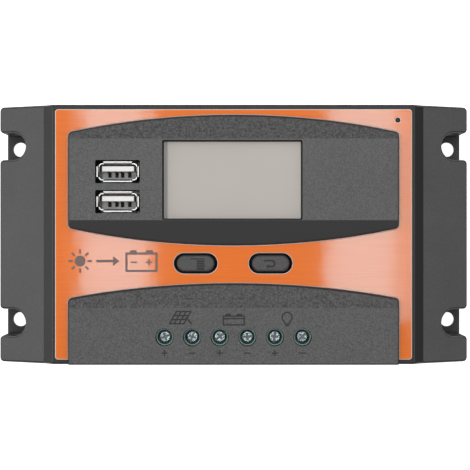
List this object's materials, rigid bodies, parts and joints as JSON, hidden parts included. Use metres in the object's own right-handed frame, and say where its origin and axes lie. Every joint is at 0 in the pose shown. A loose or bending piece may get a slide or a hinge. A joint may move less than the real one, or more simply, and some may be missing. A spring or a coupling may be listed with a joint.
{
  "type": "solar charge controller",
  "caption": "Wall-mounted solar charge controller with notched ears, display window, charging sockets, push buttons and a screw terminal block.",
  "frame": {"origin": "centre of the back plate's rear face, on the mounting plane", "axes": "+Z out of the face, +Y towards the edge with the display, +X to the right for somebody facing it"},
  "size_m": [0.165, 0.0898, 0.038],
  "materials": {
    "case_plastic": "fine moulded texture",
    "black_plate": "black anodised",
    "overlay": "glossy, fine brushed lines",
    "gasket": "matte",
    "lcd": "satin polariser",
    "light_guide": "milky",
    "holder": "satin",
    "pin_metal": "tinned",
    "board": "solder mask",
    "usb_steel": "nickel plated",
    "usb_tongue": "satin",
    "contact_gold": "gold plated",
    "button_plastic": "satin",
    "switch_black": "satin",
    "light_pipe": "clear moulded",
    "led": "moulded",
    "terminal_green": "satin moulded",
    "screw_steel": "zinc plated",
    "clamp_steel": "zinc plated",
    "chip_black": "moulded epoxy",
    "tab_metal": "tinned",
    "pad_grey": "silicone sheet",
    "capacitor_sleeve": "shrink sleeve",
    "ferrite": "ground",
    "copper": "enamelled wire",
    "fuse_body": "glazed"
  },
  "bodies": {
    "root": {"back_plate": "black_plate", "front_cover": "case_plastic", "face_overlay": "overlay", "lcd_gasket": "gasket", "lcd_glass": "lcd", "lcd_backlight": "light_guide", "lcd_holder": "holder", "lcd_pins": "pin_metal", "main_board": "board", "board_screws": "screw_steel", "cover_screws": "screw_steel", "mosfet_screws": "screw_steel", "status_light_pipe": "light_pipe", "status_led": "led", "terminal_block": "terminal_green", "terminal_bars": "pin_metal", "thermal_pad": "pad_grey", "mosfet_tabs": "tab_metal", "mosfet_bodies": "chip_black", "mosfet_leads": "pin_metal", "capacitors": "capacitor_sleeve", "inductor_core": "ferrite", "inductor_winding": "copper", "usb_coil": "ferrite", "controller_chip": "chip_black", "chip_leads": "pin_metal", "driver_chips": "chip_black", "shunt_resistors": "copper", "fuses": "fuse_body", "surface_parts": "fuse_body", "usb_upper_shell": "usb_steel", "usb_upper_tongue": "usb_tongue", "usb_upper_contacts": "contact_gold", "usb_lower_shell": "usb_steel", "usb_lower_tongue": "usb_tongue", "usb_lower_contacts": "contact_gold", "tact_menu_base": "switch_black", "tact_enter_base": "switch_black"},
    "button_menu": {"button_menu_cap": "button_plastic", "tact_menu_plunger": "switch_black"},
    "button_enter": {"button_enter_cap": "button_plastic", "tact_enter_plunger": "switch_black"},
    "screw_1": {"terminal_screw_1": "screw_steel"},
    "clamp_1": {"terminal_clamp_1": "clamp_steel"},
    "screw_2": {"terminal_screw_2": "screw_steel"},
    "clamp_2": {"terminal_clamp_2": "clamp_steel"},
    "screw_3": {"terminal_screw_3": "screw_steel"},
    "clamp_3": {"terminal_clamp_3": "clamp_steel"},
    "screw_4": {"terminal_screw_4": "screw_steel"},
    "clamp_4": {"terminal_clamp_4": "clamp_steel"},
    "screw_5": {"terminal_screw_5": "screw_steel"},
    "clamp_5": {"terminal_clamp_5": "clamp_steel"},
    "screw_6": {"terminal_screw_6": "screw_steel"},
    "clamp_6": {"terminal_clamp_6": "clamp_steel"}
  },
  "joints": [
    {"name": "menu_press", "type": "slide", "parent": "root", "child": "button_menu", "axis": [0, 0, -1], "range_m": [0, 0.0003], "stiffness_N_per_m": 1000},
    {"name": "enter_press", "type": "slide", "parent": "root", "child": "button_enter", "axis": [0, 0, -1], "range_m": [0, 0.0003], "stiffness_N_per_m": 1000},
    {"name": "screw_1_turn", "type": "hinge", "parent": "root", "child": "screw_1", "pos_m": [-0.02375, -0.0354, 0.032], "axis": [0, 0, -1], "range_deg": [0, 1800]},
    {"name": "clamp_1_rise", "type": "slide", "parent": "root", "child": "clamp_1", "axis": [0, 0, 1], "range_m": [0, 0.003]},
    {"name": "screw_2_turn", "type": "hinge", "parent": "root", "child": "screw_2", "pos_m": [-0.01425, -0.0354, 0.032], "axis": [0, 0, -1], "range_deg": [0, 1800]},
    {"name": "clamp_2_rise", "type": "slide", "parent": "root", "child": "clamp_2", "axis": [0, 0, 1], "range_m": [0, 0.003]},
    {"name": "screw_3_turn", "type": "hinge", "parent": "root", "child": "screw_3", "pos_m": [-0.00475, -0.0354, 0.032], "axis": [0, 0, -1], "range_deg": [0, 1800]},
    {"name": "clamp_3_rise", "type": "slide", "parent": "root", "child": "clamp_3", "axis": [0, 0, 1], "range_m": [0, 0.003]},
    {"name": "screw_4_turn", "type": "hinge", "parent": "root", "child": "screw_4", "pos_m": [0.00475, -0.0354, 0.032], "axis": [0, 0, -1], "range_deg": [0, 1800]},
    {"name": "clamp_4_rise", "type": "slide", "parent": "root", "child": "clamp_4", "axis": [0, 0, 1], "range_m": [0, 0.003]},
    {"name": "screw_5_turn", "type": "hinge", "parent": "root", "child": "screw_5", "pos_m": [0.01425, -0.0354, 0.032], "axis": [0, 0, -1], "range_deg": [0, 1800]},
    {"name": "clamp_5_rise", "type": "slide", "parent": "root", "child": "clamp_5", "axis": [0, 0, 1], "range_m": [0, 0.003]},
    {"name": "screw_6_turn", "type": "hinge", "parent": "root", "child": "screw_6", "pos_m": [0.02375, -0.0354, 0.032], "axis": [0, 0, -1], "range_deg": [0, 1800]},
    {"name": "clamp_6_rise", "type": "slide", "parent": "root", "child": "clamp_6", "axis": [0, 0, 1], "range_m": [0, 0.003]}
  ],
  "couplings": [
    {"joint": "screw_1_turn", "follows": "clamp_1_rise", "rad_per_m": 10472},
    {"joint": "screw_2_turn", "follows": "clamp_2_rise", "rad_per_m": 10472},
    {"joint": "screw_3_turn", "follows": "clamp_3_rise", "rad_per_m": 10472},
    {"joint": "screw_4_turn", "follows": "clamp_4_rise", "rad_per_m": 10472},
    {"joint": "screw_5_turn", "follows": "clamp_5_rise", "rad_per_m": 10472},
    {"joint": "screw_6_turn", "follows": "clamp_6_rise", "rad_per_m": 10472}
  ]
}
